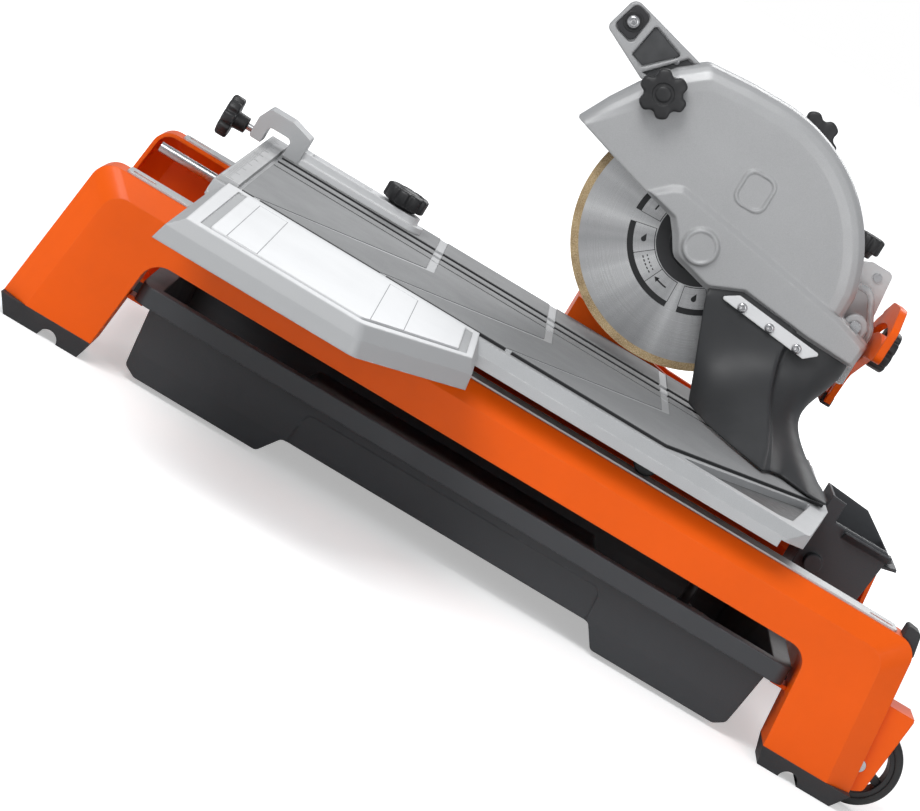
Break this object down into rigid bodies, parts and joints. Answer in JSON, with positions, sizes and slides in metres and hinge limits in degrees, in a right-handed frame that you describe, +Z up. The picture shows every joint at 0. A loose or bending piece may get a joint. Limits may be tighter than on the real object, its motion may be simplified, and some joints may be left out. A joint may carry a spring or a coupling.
{
  "type": "wet tile saw",
  "caption": "Bench wet saw: orange framed stand with water tray, rolling cart with grey pads, side extension, rip guide, and a tilting, plunging guarded diamond blade on a rear column.",
  "frame": {"origin": "on the floor under the middle of the machine's whole outline", "axes": "+X along the cart travel towards the outfeed and wheel end, +Y towards the motor side, +Z up"},
  "size_m": [0.915, 0.872, 0.514],
  "materials": {
    "orange_paint": "gloss powder coat",
    "silver_paint": "satin paint",
    "aluminium": "satin cast",
    "steel": "brushed",
    "blade_steel": "turned",
    "diamond_rim": "sintered grit",
    "pad_rubber": "moulded rubber",
    "black_rubber": "moulded rubber",
    "grey_plastic": "textured",
    "black_plastic": "fine texture",
    "motor_paint": "satin",
    "tyre": "matt",
    "clear_tube": "soft clear",
    "red_plastic": "gloss"
  },
  "bodies": {
    "frame": {"frame_shell": "orange_paint", "track_caps": "aluminium", "cross_members": "orange_paint", "feet": "black_rubber", "guide_rod": "steel", "column": "orange_paint", "wheel_brackets": "orange_paint", "wheel_axles": "steel", "corner_bumper": "black_rubber", "frame_bolts": "steel"},
    "front_wheel": {"wheel_front": "black_plastic", "tyre_front": "tyre"},
    "rear_wheel": {"wheel_rear": "black_plastic", "tyre_rear": "tyre"},
    "cart": {"cart_casting": "aluminium", "deck_pads": "pad_rubber", "end_ruler": "aluminium", "cart_bushings": "black_plastic", "roller_brackets": "steel", "splash_box": "grey_plastic"},
    "roller_fl": {"roller_front_left": "black_plastic"},
    "roller_fr": {"roller_front_right": "black_plastic"},
    "roller_rl": {"roller_rear_left": "black_plastic"},
    "roller_rr": {"roller_rear_right": "black_plastic"},
    "extension": {"extension_table": "aluminium"},
    "rip_guide": {"guide_block": "aluminium", "guide_arm": "aluminium"},
    "guide_side_knob": {"side_knob": "black_plastic"},
    "guide_top_knob": {"top_knob": "black_plastic"},
    "bevel_cradle": {"cradle": "orange_paint", "hinge_pin": "steel"},
    "bevel_lock": {"bevel_knob": "black_plastic"},
    "head": {"head_arm": "silver_paint", "motor_housing": "motor_paint", "motor_endbell": "motor_paint", "guard_inner": "silver_paint", "handle_bracket": "silver_paint", "handle_grip": "black_rubber", "head_fasteners": "steel", "hinge_plate": "aluminium", "water_hose": "clear_tube", "switch_box": "black_plastic", "power_cord": "black_rubber"},
    "rocker": {"switch_rocker": "red_plastic"},
    "depth_screw": {"depth_knob": "black_plastic"},
    "rear_star": {"star_knob_rear": "black_plastic"},
    "blade": {"motor_shaft": "steel", "blade_disc": "blade_steel", "blade_rim": "diamond_rim", "blade_flange": "steel", "arbor_nut": "steel"},
    "guard": {"guard_outer": "silver_paint", "flap_plate": "aluminium", "flap_screws": "steel", "splash_flap": "black_rubber"},
    "front_star": {"star_knob_front": "black_plastic"},
    "tray": {"water_tray": "grey_plastic", "drain_plug": "black_rubber", "pump": "black_plastic"}
  },
  "joints": [
    {"name": "cart_slide", "type": "slide", "parent": "frame", "child": "cart", "axis": [1, 0, 0], "range_m": [-0.165, 0.23]},
    {"name": "extension_lift_off", "type": "slide", "parent": "cart", "child": "extension", "axis": [0, 0, 1], "range_m": [0, 0.15]},
    {"name": "guide_slide", "type": "slide", "parent": "cart", "child": "rip_guide", "axis": [0, 1, 0], "range_m": [-0.28, 0.04]},
    {"name": "guide_side_knob_turn", "type": "hinge", "parent": "rip_guide", "child": "guide_side_knob", "pos_m": [-0.3785, 0.255, 0.209], "axis": [1, 0, 0], "continuous": true},
    {"name": "guide_top_knob_turn", "type": "hinge", "parent": "rip_guide", "child": "guide_top_knob", "pos_m": [-0.1955, 0.255, 0.24], "axis": [0, 0, 1], "continuous": true},
    {"name": "bevel_tilt", "type": "hinge", "parent": "frame", "child": "bevel_cradle", "pos_m": [0.2665, 0.22, 0.204], "axis": [1, 0, 0], "range_deg": [0, 45]},
    {"name": "bevel_lock_turn", "type": "hinge", "parent": "bevel_cradle", "child": "bevel_lock", "pos_m": [0.2815, 0.30495, 0.341], "axis": [1, 0, 0], "continuous": true},
    {"name": "plunge", "type": "hinge", "parent": "bevel_cradle", "child": "head", "pos_m": [0.2455, 0.287, 0.353], "axis": [0, 1, 0], "range_deg": [-6.5, 12], "deforming": ["splash_flap"]},
    {"name": "guard_lift", "type": "hinge", "parent": "head", "child": "guard", "pos_m": [0.2455, 0.212, 0.353], "axis": [0, 1, 0], "range_deg": [0, 25]},
    {"name": "front_star_turn", "type": "hinge", "parent": "guard", "child": "front_star", "pos_m": [-0.0345, 0.187, 0.452], "axis": [0, 1, 0], "continuous": true},
    {"name": "rear_star_turn", "type": "hinge", "parent": "head", "child": "rear_star", "pos_m": [0.118, 0.267, 0.487], "axis": [0, 1, 0], "continuous": true},
    {"name": "depth_screw_turn", "type": "hinge", "parent": "head", "child": "depth_screw", "pos_m": [0.2225, 0.285, 0.42], "axis": [0, 0, 1], "continuous": true},
    {"name": "switch_rock", "type": "hinge", "parent": "head", "child": "rocker", "pos_m": [0.074, 0.344, 0.431], "axis": [1, 0, 0], "range_deg": [0, 10]},
    {"name": "blade_spin", "type": "hinge", "parent": "head", "child": "blade", "pos_m": [0.074, 0.22, 0.344], "axis": [0, 1, 0], "continuous": true},
    {"name": "front_wheel_spin", "type": "hinge", "parent": "frame", "child": "front_wheel", "pos_m": [0.4165, -0.097, 0.043], "axis": [0, 1, 0], "continuous": true},
    {"name": "rear_wheel_spin", "type": "hinge", "parent": "frame", "child": "rear_wheel", "pos_m": [0.4165, 0.271, 0.043], "axis": [0, 1, 0], "continuous": true},
    {"name": "tray_slide", "type": "slide", "parent": "frame", "child": "tray", "axis": [0, -1, 0], "range_m": [0, 0.42]},
    {"name": "roller_fl_roll", "type": "hinge", "parent": "cart", "child": "roller_fl", "pos_m": [-0.1585, -0.103, 0.17855], "axis": [0, 1, 0], "continuous": true},
    {"name": "roller_fr_roll", "type": "hinge", "parent": "cart", "child": "roller_fr", "pos_m": [0.1115, -0.103, 0.17855], "axis": [0, 1, 0], "continuous": true},
    {"name": "roller_rl_roll", "type": "hinge", "parent": "cart", "child": "roller_rl", "pos_m": [-0.1585, 0.277, 0.17855], "axis": [0, 1, 0], "continuous": true},
    {"name": "roller_rr_roll", "type": "hinge", "parent": "cart", "child": "roller_rr", "pos_m": [0.1115, 0.277, 0.17855], "axis": [0, 1, 0], "continuous": true}
  ],
  "couplings": [
    {"joint": "roller_fl_roll", "follows": "cart_slide", "rad_per_m": 80},
    {"joint": "roller_fr_roll", "follows": "cart_slide", "rad_per_m": 80},
    {"joint": "roller_rl_roll", "follows": "cart_slide", "rad_per_m": 80},
    {"joint": "roller_rr_roll", "follows": "cart_slide", "rad_per_m": 80}
  ]
}
